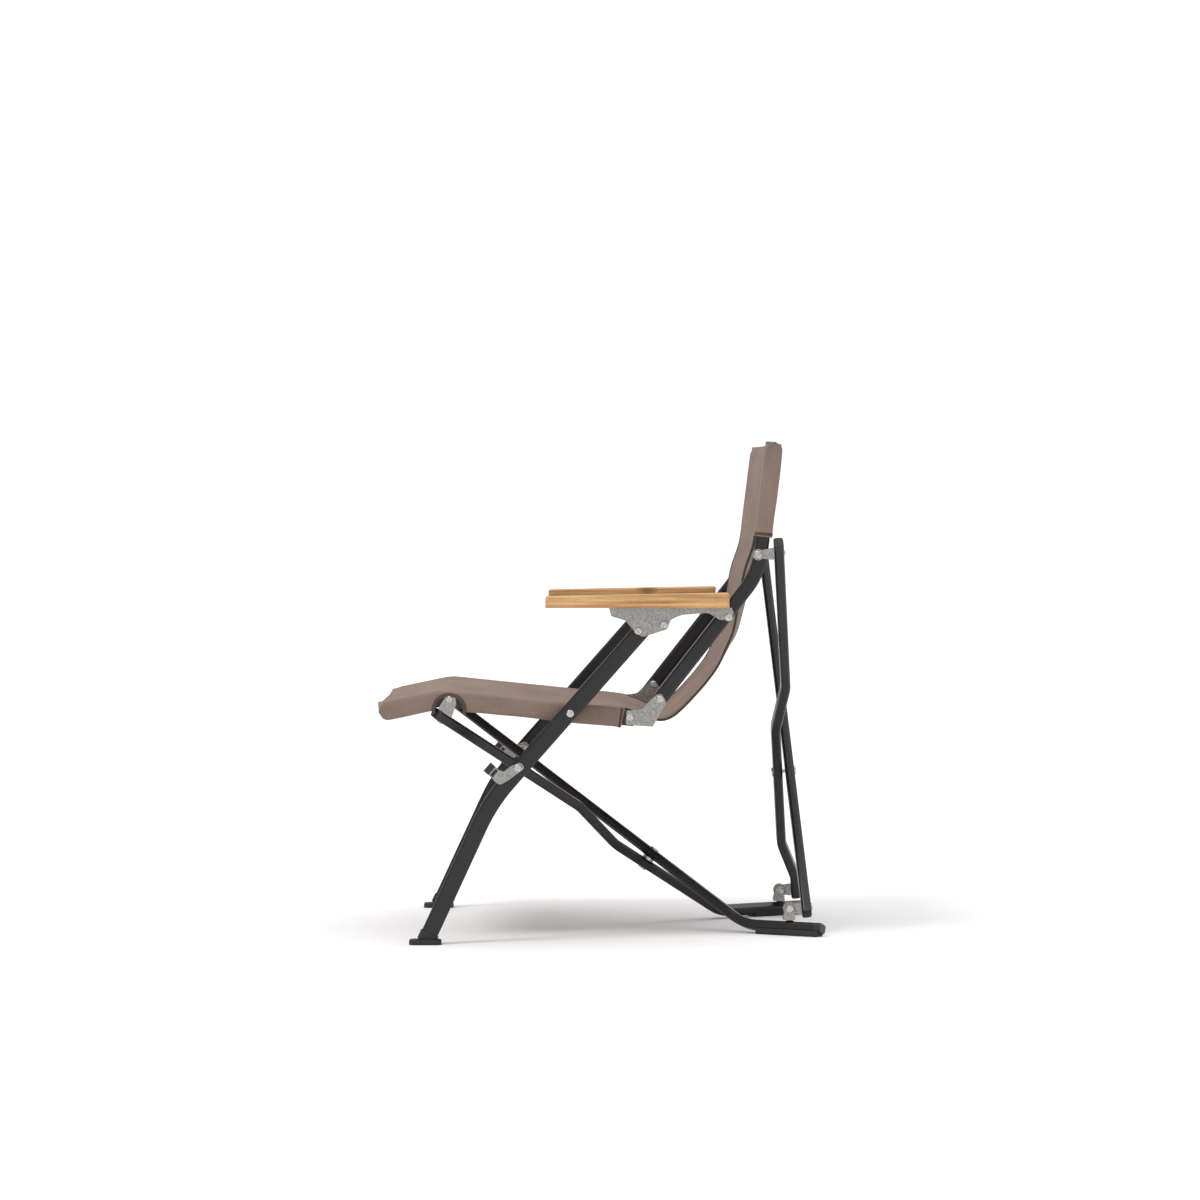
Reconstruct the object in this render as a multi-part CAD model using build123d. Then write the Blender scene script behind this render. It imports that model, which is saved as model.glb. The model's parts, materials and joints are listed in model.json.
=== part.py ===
"""Folding camp chair: a low bundle-folding armchair with a fabric sling and wooden armrests.

Millimetres, +Z up, the sitter faces -Y, +X is the sitter's left, the floor is Z = 0.
The left and right side frames are mirror images. Two crossed tubes under the seat and two
behind the back join them, and every bar swings nearly parallel to the others to fold.
Side-plane points are (y, z). Cross tubes are drawn in their own plane as (along, out), where
along runs down the tube and out is the plane's normal.
"""
import os
from math import atan2, cos, degrees, hypot, radians, sin, tan

from build123d import *

os.makedirs("parts", exist_ok=True)

# ---- driving dimensions -------------------------------------------------------------------
RAIL_X = 250.0                 # middle plane of a seat rail and a back post
LEG_X = 272.0                  # middle plane of a front leg
ARM_IN, ARM_OUT = 262.8, 302.0  # inner and outer edge of an armrest, outside the posts

FRAME_WIDE = 16.0              # width along X of rail, post and leg tubes
RAIL_DEEP, POST_DEEP, LEG_DEEP = 22.0, 20.5, 24.0
CROSS_WIDE, CROSS_DEEP = 20.0, 14.0
WALL = 1.6
CORNER = 4.0

SEAT_SLOPE = 35.3              # how steeply the seat cross plane drops to the rear
BACK_LEAN = 5.0                # how far the back cross plane leans from upright
SEAT_CROSS = (75.0, 106.9)     # middle of the seat cross, on the straight tube's centre line
BACK_CROSS_TOP = (250.6, 573.0)  # a point of the back cross plane
TUBE_STEP = 18.0               # the bent cross tube passes this far behind the straight one
FOOT_HIGH = 11.5               # centre line of the rear foot part above the floor
REAR_END = 321.0

RAIL_PIN = (-218.0, 348.0)     # rail to front swivel bracket
SEAT_PIVOT = (82.3, 348.5)     # rail bracket to back post
LEG_PIVOT = (-45.8, 328.9)     # rail to front leg
ARM_RISE = (96.4, 117.3)       # from a lower pivot of the arm parallelogram to its upper one
STOP_PIN = (87.2, 455.2)       # rivet that stops the leg against the armrest bracket
BACK_PIN = (222.0, 554.1)      # back post to back top bracket
FOOT_PIN = (273.0, 38.5)       # foot clevis to foot hinge bracket
KNEE_PIN = (-120.0, 251.3)     # knee bracket rivet

LEG_SLOPE, LEG_LOWER_SLOPE, LEG_BEND = 48.6, 65.2, 260.0
POST_SLOPE, POST_LEAN, POST_BEND = 52.0, 7.1, 100.0
POST_TOP = 711.0

PIN_R, PIN_FIT = 2.5, 0.05     # rivet shank radius and its running clearance
HEAD_R, HEAD_HIGH = 5.5, 2.0
PLATE = 2.0
GAP = 0.3                      # clearance between faces that move past each other
SKIN = 1.5                     # fabric thickness
SLEEVE_GAP = 0.5               # fabric sleeve to tube

ARM_PINS = [(LEG_PIVOT[0] + ARM_RISE[0], LEG_PIVOT[1] + ARM_RISE[1]),
            (SEAT_PIVOT[0] + ARM_RISE[0], SEAT_PIVOT[1] + ARM_RISE[1])]
ARM_UNDER = 479.0
ARM_FRONT = -81.0

RAIL_FACE = RAIL_X + FRAME_WIDE / 2
LEG_IN, LEG_FACE = LEG_X - FRAME_WIDE / 2, LEG_X + FRAME_WIDE / 2
PLATE_OUT = RAIL_FACE + GAP             # bracket plates stand this far off the rail's faces
PLATE_IN = 2 * RAIL_X - PLATE_OUT - PLATE


# ---- small helpers ------------------------------------------------------------------------
def polar(point, angle, length):
    """The point a length away from a side-plane point, at an angle up from the rear."""
    return (point[0] + length * cos(radians(angle)), point[1] + length * sin(radians(angle)))


def crossing(p, slope_p, q, slope_q):
    """Where the line through p at one slope meets the line through q at another."""
    a, b = tan(radians(slope_p)), tan(radians(slope_q))
    y = (q[1] - p[1] + a * p[0] - b * q[0]) / (a - b)
    return (y, p[1] + a * (y - p[0]))


def both_sides(name, shape):
    """Keep a left piece and its mirror image on the right."""
    keep("left_" + name, shape)
    keep("right_" + name, shape.mirror(Plane.YZ))


def keep(name, shape):
    """Write one sub-part."""
    solids = shape.solids()
    piece = solids[0] if len(solids) == 1 else Compound(solids)
    export_step(piece, os.path.join("parts", name + ".step"))


def side_plane(x):
    """The plane at x whose own axes are (y, z)."""
    return Plane(origin=(x, 0, 0), x_dir=(0, 1, 0), z_dir=(1, 0, 0))


def slab(sketch, x0, x1):
    """A flat side-plane outline given its thickness from x0 to x1."""
    return extrude(side_plane(x0) * sketch, amount=x1 - x0, dir=(1, 0, 0))


def rounded(points, radii):
    """A closed outline with a radius at each corner."""
    return make_face(FilletPolyline(*points, radius=radii, close=True).edges())


def disc(point, radius):
    return Pos(*point) * Circle(radius)


def bar(plane, points, radii, wide, deep, wall=0.0, corner=CORNER):
    """A bent bar whose path lies in a plane; wide is its size along the plane's normal."""
    placed = [plane.from_local_coords((a, b)) for a, b in points]
    path = FilletPolyline(*placed, radius=radii) if len(placed) > 2 else Line(*placed)
    ends = Plane(origin=path @ 0, x_dir=plane.z_dir, z_dir=path % 0)
    solid = sweep(ends * RectangleRounded(wide, deep, corner), path=path)
    if wall:
        inside = RectangleRounded(wide - 2 * wall, deep - 2 * wall, max(corner - wall, 0.6))
        solid -= sweep(ends * inside, path=path)
    return solid


def drill(plane, point, radius, low, high):
    """A cylinder along a plane's normal, to cut a hole or make a shank."""
    origin = plane.from_local_coords((point[0], point[1], low))
    return Plane(origin=origin, x_dir=plane.x_dir, z_dir=plane.z_dir) * Cylinder(
        radius, high - low, align=(Align.CENTER, Align.CENTER, Align.MIN))


def head(plane, point, level, up, radius=HEAD_R, high=HEAD_HIGH, dimple=False):
    """A domed rivet head on a face at a level, standing up or down the normal."""
    low = level if up else level - high
    dome = drill(plane, point, radius, low, low + high)
    rim = dome.edges().group_by(Axis(plane.origin, plane.z_dir))[-1 if up else 0]
    dome = fillet(rim, high * 0.8)
    if dimple:
        end = low + high if up else low
        dome -= drill(plane, point, radius * 0.28, end - 0.8, end + 0.8)
    return dome


def rivet(plane, point, low, high, low_head=True, high_head=True, radius=PIN_R, head_r=HEAD_R):
    """A rivet through a stack of plates between two levels of a plane's normal."""
    solid = drill(plane, point, radius, low, high)
    if low_head:
        solid += head(plane, point, low, False, head_r)
    if high_head:
        solid += head(plane, point, high, True, head_r, dimple=True)
    return solid


def plug(plane, end, inward, wide, deep, length, insert=8.0):
    """A tube's end plug: a collar as large as the tube, and an insert that fits inside it."""
    angle = degrees(atan2(inward[1], inward[0]))
    outer = [end, polar(end, angle, -length)]
    inner = [end, polar(end, angle, insert)]
    solid = bar(plane, outer, 0, wide, deep)
    tip = solid.faces().sort_by_distance(plane.from_local_coords(outer[1]))[0]
    solid = fillet(tip.edges(), min(1.5, 0.6 * length))
    fit = 2 * (WALL + PIN_FIT)
    return solid + bar(plane, inner, 0, wide - fit, deep - fit, corner=max(CORNER - WALL, 0.6))


SIDE = side_plane(0)

# ---- the two cross planes -----------------------------------------------------------------
SEAT_DOWN = Vector(0, cos(radians(SEAT_SLOPE)), -sin(radians(SEAT_SLOPE)))
SEAT_NORMAL = Vector(0, sin(radians(SEAT_SLOPE)), cos(radians(SEAT_SLOPE)))
BACK_DOWN = Vector(0, sin(radians(BACK_LEAN)), -cos(radians(BACK_LEAN)))
BACK_NORMAL = Vector(0, cos(radians(BACK_LEAN)), sin(radians(BACK_LEAN)))

SEAT_PIN_DROP = 27.4           # rail pin down to the seat cross plane, square to it
seat_pin_y = RAIL_PIN[0] - SEAT_PIN_DROP * SEAT_NORMAL.Y + 6.0
front_reach = (SEAT_CROSS[0] - seat_pin_y) / SEAT_DOWN.Y
SEAT_ANGLE = atan2(RAIL_X, front_reach)      # a seat cross tube to the chair's middle plane
SEAT_FRONT = hypot(RAIL_X, front_reach)      # crossing to front web pin, along a tube


def tube_plane(middle, down, normal, angle, side):
    """A cross tube's plane (along, out), for the tube whose top is at +X (side 1) or -X (-1)."""
    along = Vector(-side * sin(angle), 0, 0) + down * cos(angle)
    across = along.cross(normal)
    return Plane(origin=(0, *middle), x_dir=along, z_dir=across)


SEAT_TUBES = {side: tube_plane(SEAT_CROSS, SEAT_DOWN, SEAT_NORMAL, SEAT_ANGLE, side)
              for side in (1, -1)}
seat_tube_dir = SEAT_TUBES[1].x_dir
FOOT_BEND = (FOOT_HIGH - SEAT_CROSS[1]) / seat_tube_dir.Z    # crossing to foot bend
FOOT_TURN = atan2(-seat_tube_dir.Z, SEAT_NORMAL.Z)
foot_dir = seat_tube_dir * cos(FOOT_TURN) + SEAT_NORMAL * sin(FOOT_TURN)
foot_bend_point = Vector(0, *SEAT_CROSS) + seat_tube_dir * FOOT_BEND
FOOT_X = abs((foot_bend_point + foot_dir * ((FOOT_PIN[0] - foot_bend_point.Y) / foot_dir.Y)).X)

BACK_TOP_Z, BACK_FOOT_Z = 556.0, 40.0        # web pins of the back cross tubes
back_cross_z = BACK_TOP_Z - (BACK_TOP_Z - BACK_FOOT_Z) * RAIL_X / (RAIL_X + FOOT_X)
lean = tan(radians(BACK_LEAN))
BACK_CROSS = (BACK_CROSS_TOP[0] + (BACK_CROSS_TOP[1] - back_cross_z) * lean, back_cross_z)
back_reach = (BACK_TOP_Z - back_cross_z) / cos(radians(BACK_LEAN))
BACK_ANGLE = atan2(RAIL_X, back_reach)
BACK_TOP = hypot(RAIL_X, back_reach)
BACK_FOOT = BACK_TOP * FOOT_X / RAIL_X
BACK_TUBES = {side: tube_plane(BACK_CROSS, BACK_DOWN, BACK_NORMAL, BACK_ANGLE, side)
              for side in (1, -1)}


def face_plane(tube):
    """The plane through a tube's centre line whose normal points out of the cross plane."""
    return Plane(origin=tube.origin, x_dir=tube.x_dir, z_dir=tube.y_dir)


# ---- seat cross tubes, rear feet ----------------------------------------------------------
CAP = 10.0
seat_cross_hole = 6.0 / 2
SOLE_HIGH = 9.0                # the foot pads reach this far up the tube

for side, name in ((1, "left"), (-1, "right")):
    tube = SEAT_TUBES[side]
    level = face_plane(tube)
    step = TUBE_STEP if side == 1 else 0.0
    front_end = -SEAT_FRONT - 6.5
    foot_start = (FOOT_BEND - step / tan(FOOT_TURN), -step)
    foot_run = (REAR_END - CAP - foot_bend_point.Y) / foot_dir.Y
    foot_end = (FOOT_BEND + foot_run * cos(FOOT_TURN), foot_run * sin(FOOT_TURN))
    bends = [(-160.0, 0.0), (-66.0, -step)] if step else []
    points = [(front_end, 0.0)] + bends + [foot_start, foot_end]
    radii = [60.0] * len(bends) + [75.0]
    body = bar(tube, points, radii, CROSS_WIDE, CROSS_DEEP, WALL)
    body -= drill(level, (-SEAT_FRONT, 0), PIN_R + PIN_FIT, -CROSS_DEEP, CROSS_DEEP)
    body -= drill(level, (0, 0), seat_cross_hole + PIN_FIT, -step - CROSS_DEEP, CROSS_DEEP)
    keep(name + "_seat_cross_tube", body)

    caps = plug(tube, points[0], (1, 0), CROSS_WIDE, CROSS_DEEP, 8.5, 4.0)
    caps += plug(tube, foot_end, (-cos(FOOT_TURN), -sin(FOOT_TURN)), CROSS_WIDE, CROSS_DEEP, CAP)
    keep(name + "_seat_tube_caps", caps)

    foot_back = (foot_end[0] - 92.0 * cos(FOOT_TURN), foot_end[1] - 92.0 * sin(FOOT_TURN))
    foot_tip = (foot_end[0] + 6.0 * cos(FOOT_TURN), foot_end[1] + 6.0 * sin(FOOT_TURN))
    pad = bar(tube, [foot_back, foot_tip], 0, CROSS_WIDE + 1, CROSS_DEEP + 16)
    pad &= Pos(0, REAR_END, SOLE_HIGH / 2) * Box(600, 400, SOLE_HIGH)
    pad -= bar(tube, points[-2:], 0, CROSS_WIDE + 2 * PIN_FIT, CROSS_DEEP + 2 * PIN_FIT)
    pad -= bar(tube, [foot_end, (foot_end[0] + 20.0 * cos(FOOT_TURN), foot_end[1] + 20.0 * sin(FOOT_TURN))],
               0, CROSS_WIDE + 2 * PIN_FIT, CROSS_DEEP + 2 * PIN_FIT)
    dome = Pos(-side * FOOT_X, FOOT_PIN[0], FOOT_HIGH) * Sphere(10.3)
    dome &= Pos(0, FOOT_PIN[0], FOOT_HIGH + 15.0) * Box(600, 40, 30.0)
    dome -= bar(tube, points[-2:], 0, CROSS_WIDE + 9, CROSS_DEEP + 2 * PIN_FIT, corner=1.0)
    keep(name + "_rear_foot_pads", pad + dome)

level = face_plane(SEAT_TUBES[1])
top_face = CROSS_DEEP / 2
low_face = -TUBE_STEP - CROSS_DEEP / 2
cross_rivet = rivet(level, (0, 0), low_face, top_face, radius=seat_cross_hole, head_r=7.0)
cross_rivet += drill(level, (0, 0), 9.0, -TUBE_STEP + top_face + GAP / 6, -top_face - GAP / 6)
keep("seat_cross_rivet", cross_rivet)

# ---- back cross tubes ---------------------------------------------------------------------
back_hole_fit = 2.4            # the bent tube's hole leaves room for the fold's small drift
for side, name in ((1, "left"), (-1, "right")):
    tube = BACK_TUBES[side]
    level = face_plane(tube)
    step = TUBE_STEP if side == 1 else 0.0
    top = (-BACK_TOP - 12.0, 0.0)
    foot = (BACK_FOOT + 8.0, 0.0)
    shift = BACK_TOP / (BACK_TOP_Z - BACK_CROSS[1])
    heights = (360.0, 298.0, 118.0, 62.0)
    bends = [((BACK_CROSS[1] - z) * shift, out) for z, out in zip(heights, (0, -step, -step, 0))]
    points = [top] + (bends if step else []) + [foot]
    body = bar(tube, points, 60.0, CROSS_WIDE, CROSS_DEEP, WALL)
    fit = back_hole_fit if step else PIN_FIT
    body -= drill(level, (-BACK_TOP, 0), PIN_R + PIN_FIT, -CROSS_DEEP, CROSS_DEEP)
    body -= drill(level, (BACK_FOOT, 0), PIN_R + 1.5, -CROSS_DEEP, CROSS_DEEP)
    body -= drill(level, (0, 0), PIN_R + fit, -step - CROSS_DEEP, -step + CROSS_DEEP)
    keep(name + "_back_cross_tube", body)
    caps = plug(tube, top, (1, 0), CROSS_WIDE, CROSS_DEEP, 9.0, 5.0)
    caps += plug(tube, foot, (-1, 0), CROSS_WIDE, CROSS_DEEP, 4.0, 2.0)
    keep(name + "_back_tube_caps", caps)

level = face_plane(BACK_TUBES[1])
keep("back_cross_rivet", rivet(level, (0, 0), low_face - GAP, top_face, head_r=7.0))

# ---- side frame tubes ---------------------------------------------------------------------
rail_path = [(-312.0, 331.5), (-231.0, 348.8), (45.0, 320.2)]
leg_mid = (LEG_PIVOT[0], LEG_PIVOT[1] + 2.6)
leg_vertex = crossing(leg_mid, LEG_SLOPE, (-253.0, 0.0), LEG_LOWER_SLOPE)
leg_top = polar(leg_mid, LEG_SLOPE, hypot(*ARM_RISE) + 9.0)
leg_foot = polar(leg_vertex, LEG_LOWER_SLOPE, -(leg_vertex[1] - 8.0) / sin(radians(LEG_LOWER_SLOPE)))
leg_path = [leg_top, leg_vertex, leg_foot]
post_high = (245.0, POST_TOP)
post_vertex = crossing(SEAT_PIVOT, POST_SLOPE, post_high, 90.0 - POST_LEAN)
post_path = [polar(SEAT_PIVOT, POST_SLOPE, -21.0), post_vertex, post_high]

RAIL_PLANE, LEG_PLANE = side_plane(RAIL_X), side_plane(LEG_X)
rail = bar(RAIL_PLANE, rail_path, 70.0, FRAME_WIDE, RAIL_DEEP, WALL)
rail_rivet = (39.0, 322.9)
for point in (RAIL_PIN, LEG_PIVOT, rail_rivet):
    rail -= drill(SIDE, point, PIN_R + PIN_FIT, RAIL_X - 20, RAIL_X + 20)
both_sides("seat_rail", rail)

post = bar(RAIL_PLANE, post_path, POST_BEND, FRAME_WIDE, POST_DEEP, WALL)
for point in (SEAT_PIVOT, ARM_PINS[1], BACK_PIN):
    post -= drill(SIDE, point, PIN_R + PIN_FIT, RAIL_X - 20, RAIL_X + 20)
both_sides("back_post", post)

leg = bar(LEG_PLANE, leg_path, LEG_BEND, FRAME_WIDE, LEG_DEEP, WALL)
for point in (LEG_PIVOT, ARM_PINS[0], KNEE_PIN):
    leg -= drill(SIDE, point, PIN_R + PIN_FIT, LEG_X - 20, LEG_X + 20)
both_sides("front_leg", leg)

leg_up = (cos(radians(LEG_SLOPE)), sin(radians(LEG_SLOPE)))
both_sides("leg_plug", plug(LEG_PLANE, leg_top, (-leg_up[0], -leg_up[1]), FRAME_WIDE, LEG_DEEP, 2.5, 2.0))
post_up = (cos(radians(POST_SLOPE)), sin(radians(POST_SLOPE)))
plugs = plug(RAIL_PLANE, post_path[0], post_up, FRAME_WIDE, POST_DEEP, 2.5)
plugs += plug(RAIL_PLANE, post_high, (-sin(radians(POST_LEAN)), -cos(radians(POST_LEAN))),
              FRAME_WIDE, POST_DEEP, 1.5)
both_sides("post_plugs", plugs)

# ---- front feet ---------------------------------------------------------------------------
sole_box = Pos(LEG_X, -252.0, 3.5) * Box(30.0, 46.0, 7.0)
sole_box = fillet(sole_box.edges().filter_by(Axis.Z), 9.0)
sole_box = fillet(sole_box.faces().sort_by(Axis.Z)[-1].edges(), 2.0)
collar_path = [polar(leg_foot, LEG_LOWER_SLOPE, -4.0), polar(leg_foot, LEG_LOWER_SLOPE, 9.0)]
collar = bar(LEG_PLANE, collar_path, 0, FRAME_WIDE + 3, LEG_DEEP + 3, corner=5.0)
collar &= Pos(LEG_X, -252.0, 52.0) * Box(60, 90, 100)
socket = bar(LEG_PLANE, [leg_foot, polar(leg_foot, LEG_LOWER_SLOPE, 30.0)], 0,
             FRAME_WIDE + 2 * PIN_FIT, LEG_DEEP + 2 * PIN_FIT)
both_sides("front_foot", sole_box + collar - socket)

# ---- rear seat bracket: two plates that carry the post behind the rail ----------------------
seat_plate = rounded([(33.0, 311.6), (71.5, 309.0), (91.5, 343.0), (84.0, 357.5), (76.0, 354.0),
                      (57.0, 334.5), (34.2, 331.5)], [3.0, 3.0, 8.0, 6.0, 4.0, 12.0, 3.0])
seat_plate -= disc(rail_rivet, PIN_R + PIN_FIT)
seat_plate -= disc(SEAT_PIVOT, PIN_R + PIN_FIT)
plates = slab(seat_plate, PLATE_OUT, PLATE_OUT + PLATE) + slab(seat_plate, PLATE_IN, PLATE_IN + PLATE)
both_sides("rear_seat_bracket", plates)

rail_rivets = rivet(SIDE, rail_rivet, PLATE_IN, PLATE_OUT + PLATE)
rail_rivets += rivet(SIDE, SEAT_PIVOT, PLATE_IN, PLATE_OUT + PLATE)
rail_rivets += rivet(SIDE, RAIL_PIN, PLATE_IN, PLATE_OUT + PLATE, head_r=5.0)
rail_rivets += rivet(SIDE, LEG_PIVOT, RAIL_X - FRAME_WIDE / 2, LEG_FACE, low_head=False)
rail_rivets += drill(SIDE, LEG_PIVOT, 7.0, RAIL_FACE + PIN_FIT, LEG_IN - GAP)
both_sides("rail_rivets", rail_rivets)

# ---- armrest ------------------------------------------------------------------------------
arm_rear = ARM_PINS[1][0] + 1.0
wood = slab(Polygon((ARM_FRONT, ARM_UNDER), (arm_rear, ARM_UNDER), (arm_rear, 500.5),
                    (ARM_FRONT, 495.5), align=None), ARM_IN, ARM_OUT)
uprights = wood.edges().filter_by(Axis.Z)
wood = fillet(uprights, 6.0)
wood = fillet(wood.faces().sort_by(Axis.Z)[-1].edges(), 3.0)

plate_top = ARM_UNDER - GAP / 3
arm_x0 = LEG_FACE + GAP
outline = rounded([(9.0, plate_top), (12.5, 467.0), (33.0, 460.5), (42.0, 449.0), (56.0, 437.0),
                   (92.0, 448.5), (97.0, 462.0), (112.0, 468.8), (150.0, 471.8), (168.0, 461.0),
                   (188.0, 466.0), (184.0, plate_top)],
                  [1.0, 2.0, 6.0, 6.0, 9.0, 6.0, 3.0, 30.0, 14.0, 8.0, 8.0, 6.0])
for point in ARM_PINS + [STOP_PIN]:
    outline -= disc(point, PIN_R + PIN_FIT)
outer_plate = slab(outline, arm_x0, arm_x0 + PLATE)
flange = slab(Pos(97.0, plate_top - PLATE / 2) * Rectangle(174.0, PLATE), ARM_IN + 0.5, arm_x0 + PLATE)
screw_x = ARM_IN + 11.0
fasteners = Part()
for y in (24.0, 96.0, 160.0):
    flange -= Pos(screw_x, y, ARM_UNDER) * Cylinder(2.05, 8.0)
    under = Plane(origin=(screw_x, y, plate_top - PLATE), x_dir=(0, 1, 0), z_dir=(0, 0, 1))
    fasteners += drill(under, (0, 0), 2.0, 0, 12.0) + head(under, (0, 0), 0.0, False, 4.0, 1.6)
    wood -= Pos(screw_x, y, ARM_UNDER + 5) * Cylinder(2.05, 11.0)
both_sides("armrest", wood)
both_sides("armrest_bracket", outer_plate + flange)

fasteners += rivet(SIDE, STOP_PIN, arm_x0 - GAP, arm_x0 + PLATE, low_head=False)
fasteners += drill(SIDE, STOP_PIN, 5.6, LEG_FACE - 10.0, arm_x0)
both_sides("armrest_fasteners", fasteners)
post_rivets = rivet(SIDE, ARM_PINS[1], RAIL_X - FRAME_WIDE / 2, arm_x0 + PLATE)
post_rivets += drill(SIDE, ARM_PINS[1], 6.0, RAIL_FACE + PIN_FIT, arm_x0 - GAP / 3)
post_rivets += rivet(SIDE, BACK_PIN, PLATE_IN, PLATE_OUT + PLATE)
both_sides("post_rivets", post_rivets)
leg_rivets = rivet(SIDE, ARM_PINS[0], LEG_IN, arm_x0 + PLATE)
leg_rivets += rivet(SIDE, KNEE_PIN, LEG_IN - GAP - PLATE, LEG_FACE + GAP + PLATE)
both_sides("leg_rivets", leg_rivets)

# ---- front swivel bracket: a saddle round the rail, on top of a seat cross tube's end --------
SADDLE_LOW = CROSS_DEEP / 2 + GAP            # underside of the web above the cross plane


def seat_plane_point(along, out):
    """Side-plane point at a web pin's place: along down the seat cross plane, out from it."""
    y = SEAT_CROSS[0] - front_reach * SEAT_DOWN.Y + along * SEAT_DOWN.Y + out * SEAT_NORMAL.Y
    z = SEAT_CROSS[1] - front_reach * SEAT_DOWN.Z + along * SEAT_DOWN.Z + out * SEAT_NORMAL.Z
    return (y, z)


def back_plane_point(height, along, out):
    """Side-plane point beside the back cross plane at a height."""
    y = BACK_CROSS_TOP[0] + (BACK_CROSS_TOP[1] - height) * lean
    return (y + along * BACK_DOWN.Y + out * BACK_NORMAL.Y,
            height + along * BACK_DOWN.Z + out * BACK_NORMAL.Z)


def web(corners, middle, half):
    """A block with a side-plane outline, the same width either side of a middle plane."""
    return slab(Polygon(*corners, align=None), middle - half, middle + half)


def pair(sketch, middle, inner):
    """The same outline on both sides of a middle plane, inner being the gap's half width."""
    return (slab(sketch, middle + inner, middle + inner + PLATE)
            + slab(sketch, middle - inner - PLATE, middle - inner))


half_saddle = PLATE_OUT - RAIL_X
saddle_outline = rounded([seat_plane_point(*corner) for corner in
                          ((-13.0, SADDLE_LOW), (-14.0, 30.0), (-10.0, 35.0), (-2.0, 34.5),
                           (4.5, 28.0), (10.0, SADDLE_LOW))], [1.5, 4.0, 4.0, 4.0, 5.0, 1.5])
saddle_outline -= disc(RAIL_PIN, PIN_R + PIN_FIT)
saddle = pair(saddle_outline, RAIL_X, half_saddle)
saddle += web([seat_plane_point(*corner) for corner in
               ((-12.5, SADDLE_LOW), (9.5, SADDLE_LOW), (9.5, SADDLE_LOW + PLATE), (-12.5, SADDLE_LOW + PLATE))],
              RAIL_X, half_saddle + PLATE / 2)
seat_web_pin = Plane(origin=(RAIL_X, *seat_plane_point(0, 0)), x_dir=(1, 0, 0), z_dir=SEAT_NORMAL)
saddle -= drill(seat_web_pin, (0, 0), PIN_R + PIN_FIT, 0, 14.0)
both_sides("front_swivel_bracket", saddle)
both_sides("seat_tube_rivet", rivet(seat_web_pin, (0, 0), -CROSS_DEEP / 2, SADDLE_LOW + PLATE, head_r=4.5))

# ---- back top bracket: hinged on the post, its web in front of a back cross tube -------------
web_out = -CROSS_DEEP / 2 - GAP - PLATE


def back_bracket(pin, hole, height, x, half_gap, lobe):
    """A clevis whose plates run from a lateral pin to a web lying on a back cross tube."""
    corners = [back_plane_point(height, along, web_out) for along in (-8.5, 8.5)]
    outline = make_face(Polyline(*corners, polar(pin, 215.0, lobe), polar(pin, 145.0, lobe), close=True))
    outline = outline + disc(pin, lobe) - disc(pin, hole)
    strip = [back_plane_point(height, along, out)
             for along, out in ((-8.5, web_out), (8.5, web_out), (8.5, web_out + PLATE), (-8.5, web_out + PLATE))]
    clevis = pair(outline, x, half_gap) + web(strip, x, half_gap + PLATE)
    pin_plane = Plane(origin=(x, *back_plane_point(height, 0, 0)), x_dir=(1, 0, 0), z_dir=BACK_NORMAL)
    return clevis - drill(pin_plane, (0, 0), PIN_R + PIN_FIT, -14.0, 0), pin_plane


top_bracket, top_web_pin = back_bracket(BACK_PIN, PIN_R + PIN_FIT, BACK_TOP_Z, RAIL_X, half_saddle, 8.0)
both_sides("back_top_bracket", top_bracket)
hinge, foot_web_pin = back_bracket(FOOT_PIN, PIN_R + 4.6, BACK_FOOT_Z, FOOT_X, 5.2, 9.4)
both_sides("foot_hinge_bracket", hinge)
tube_rivets = [rivet(pin, (0, 0), web_out, CROSS_DEEP / 2, head_r=4.5) for pin in (top_web_pin, foot_web_pin)]
keep("left_back_tube_rivets", tube_rivets[0] + tube_rivets[1].mirror(Plane.YZ))
keep("right_back_tube_rivets", tube_rivets[0].mirror(Plane.YZ) + tube_rivets[1])

# ---- knee bracket: a clip round the leg with a nylon block in its front strap -----------------
knee_front = polar(polar(leg_mid, LEG_SLOPE, -124.0), LEG_SLOPE + 90.0, LEG_DEEP / 2 + GAP)


def knee_box(along_0, along_1, out_0, out_1, half_x):
    """A block in front of the leg: along it upwards, out from its front face."""
    corners = [polar(polar(knee_front, LEG_SLOPE, along), LEG_SLOPE + 90.0, out)
               for along, out in ((along_0, out_0), (along_1, out_0), (along_1, out_1), (along_0, out_1))]
    return web(corners, LEG_X, half_x)


half_knee = FRAME_WIDE / 2 + GAP
knee_outline = rounded([polar(polar(knee_front, LEG_SLOPE, along), LEG_SLOPE + 90.0, out)
                        for along, out in ((23.0, -17.5), (23.0, -6.5), (12.0, -1.0), (-3.0, 2.3),
                                           (-5.0, 9.0), (-21.0, 9.0), (-21.0, -6.0), (-9.0, -10.5))],
                       [5.2, 5.2, 4.0, 2.0, 0.8, 5.0, 7.0, 12.0])
knee_outline -= disc(KNEE_PIN, PIN_R + PIN_FIT)
strap = knee_box(-20.5, -5.7, 0.2, 15.5, 6.5) - knee_box(-19.0, -7.2, 1.8, 13.5, 8.0)
knee = pair(knee_outline, LEG_X, half_knee) + knee_box(-19.5, -6.5, 0.0, PLATE, half_knee + PLATE / 2) + strap
neck = Plane(origin=(LEG_X, *polar(polar(knee_front, LEG_SLOPE, -13.1), LEG_SLOPE + 90.0, 0)),
             x_dir=(1, 0, 0), z_dir=(0, cos(radians(LEG_SLOPE + 90.0)), sin(radians(LEG_SLOPE + 90.0))))
knee -= drill(neck, (0, 0), 3.1, 10.0, 20.0)
both_sides("knee_bracket", knee)
block = knee_box(-18.8, -7.4, 2.3, 13.2, 6.0) + knee_box(-20.6, -5.6, 15.8, 24.5, 7.5)
both_sides("knee_block", block + drill(neck, (0, 0), 3.0, 12.0, 18.0))

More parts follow.
